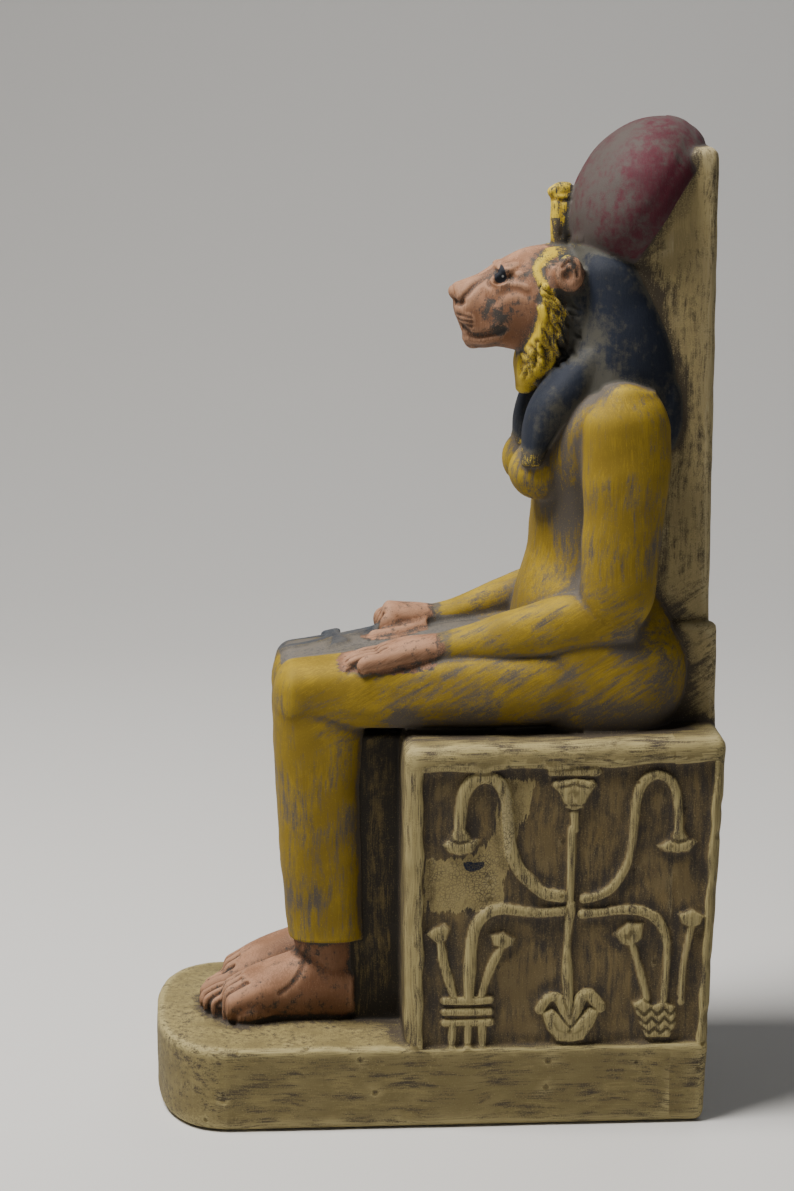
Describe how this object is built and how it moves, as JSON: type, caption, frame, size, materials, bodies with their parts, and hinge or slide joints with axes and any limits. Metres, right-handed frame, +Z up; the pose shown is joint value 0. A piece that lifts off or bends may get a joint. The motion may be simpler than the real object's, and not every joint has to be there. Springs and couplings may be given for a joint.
{
  "type": "seated lioness-headed statue",
  "caption": "Hand-painted cast statue of a lioness-headed goddess with a sun disc, seated on a block throne with a back slab and a rounded base.",
  "frame": {"origin": "centre of the underside's bounding box, on the surface that it stands on", "axes": "+Z up, the figure faces -Y, +X to the figure's left"},
  "size_m": [0.084, 0.171, 0.3007],
  "materials": {
    "painted_cast": "matt hand-painted plaster cast, worn and dusty"
  },
  "bodies": {
    "root": {"sekhmet_statue": "painted_cast"}
  },
  "joints": []
}
